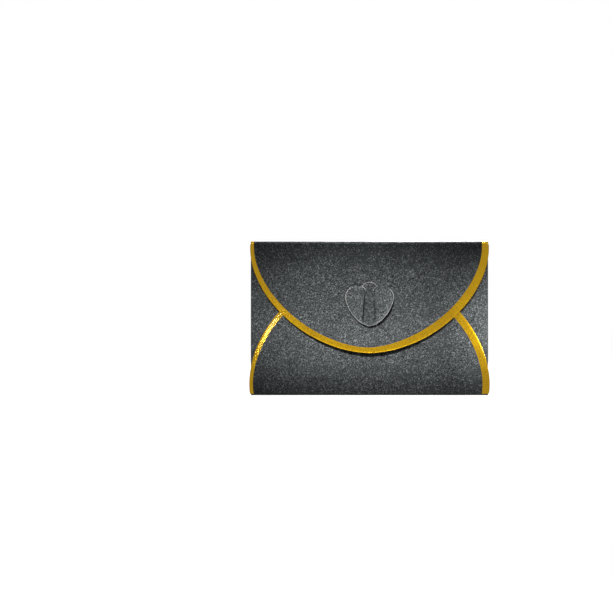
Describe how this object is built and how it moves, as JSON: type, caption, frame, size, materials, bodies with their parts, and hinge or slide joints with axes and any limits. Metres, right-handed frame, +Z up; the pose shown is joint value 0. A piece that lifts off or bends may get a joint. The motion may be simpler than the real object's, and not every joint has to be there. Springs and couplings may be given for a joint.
{
  "type": "gift card holder",
  "caption": "Paper envelope for one card, with a domed pocket, a rounded foil-edged top flap and a heart-shaped tuck clasp.",
  "frame": {"origin": "centre of the bottom fold's underside, as the holder stands upright", "axes": "X across the width, +Z up from the bottom fold to the top fold, -Y out of the flap side and +Y out of the address side"},
  "size_m": [0.1064, 0.0037, 0.068],
  "materials": {
    "paper": "charcoal pearlescent paper with a fine grain",
    "gold_foil": "bright gold stamping foil",
    "glue": "dried white paper glue"
  },
  "bodies": {
    "pocket": {"back_panel": "paper", "left_fold": "paper", "right_fold": "paper", "left_side_flap": "paper", "right_side_flap": "paper", "bottom_fold": "paper", "left_glue_strip": "glue", "right_glue_strip": "glue", "front_panel": "paper", "panel_foil": "gold_foil", "address_frame_foil": "gold_foil", "top_fold": "paper"},
    "flap": {"top_flap": "paper", "flap_foil": "gold_foil"},
    "tab": {"heart_tab": "paper"},
    "tongue": {"clasp_tongue": "paper"}
  },
  "joints": [
    {"name": "flap_fold", "type": "hinge", "parent": "pocket", "child": "flap", "pos_m": [0, 0, 0.06663], "axis": [-1, 0, 0], "range_deg": [0, 180], "deforming": ["top_fold"]},
    {"name": "tab_crease", "type": "hinge", "parent": "flap", "child": "tab", "pos_m": [0, -0.00122, 0.0474], "axis": [-1, 0, 0], "range_deg": [-3, 45]},
    {"name": "tongue_crease", "type": "hinge", "parent": "pocket", "child": "tongue", "pos_m": [0, -0.00068, 0.0322], "axis": [1, 0, 0], "range_deg": [-2.4, 45]}
  ]
}
